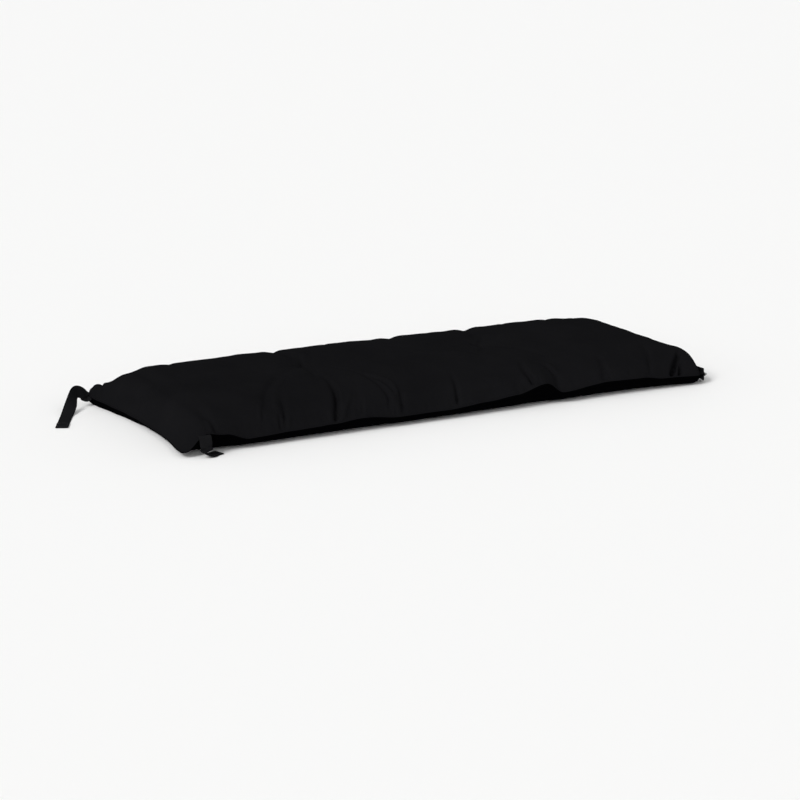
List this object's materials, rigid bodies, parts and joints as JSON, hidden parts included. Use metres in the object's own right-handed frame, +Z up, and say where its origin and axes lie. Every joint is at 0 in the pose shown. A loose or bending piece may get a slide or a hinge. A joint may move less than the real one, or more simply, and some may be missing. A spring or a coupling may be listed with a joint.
{
  "type": "bench cushion",
  "caption": "Long black woven bench cushion with knife-edge seams, soft filling, tufts and flat corner ties.",
  "frame": {"origin": "middle of the flat underside, at floor height", "axes": "+X along the length, +Z up through the seat side, front edge at -Y"},
  "size_m": [1.3304, 0.6124, 0.0851],
  "materials": {
    "cushion": "matte woven cloth",
    "strap_rear_left": "matte woven band",
    "strap_rear_right": "matte woven band",
    "strap_front_left": "matte woven band",
    "strap_front_right": "matte woven band"
  },
  "bodies": {
    "root": {"cushion": "cushion", "strap_rear_left": "strap_rear_left", "strap_rear_right": "strap_rear_right", "strap_front_left": "strap_front_left", "strap_front_right": "strap_front_right"}
  },
  "joints": []
}
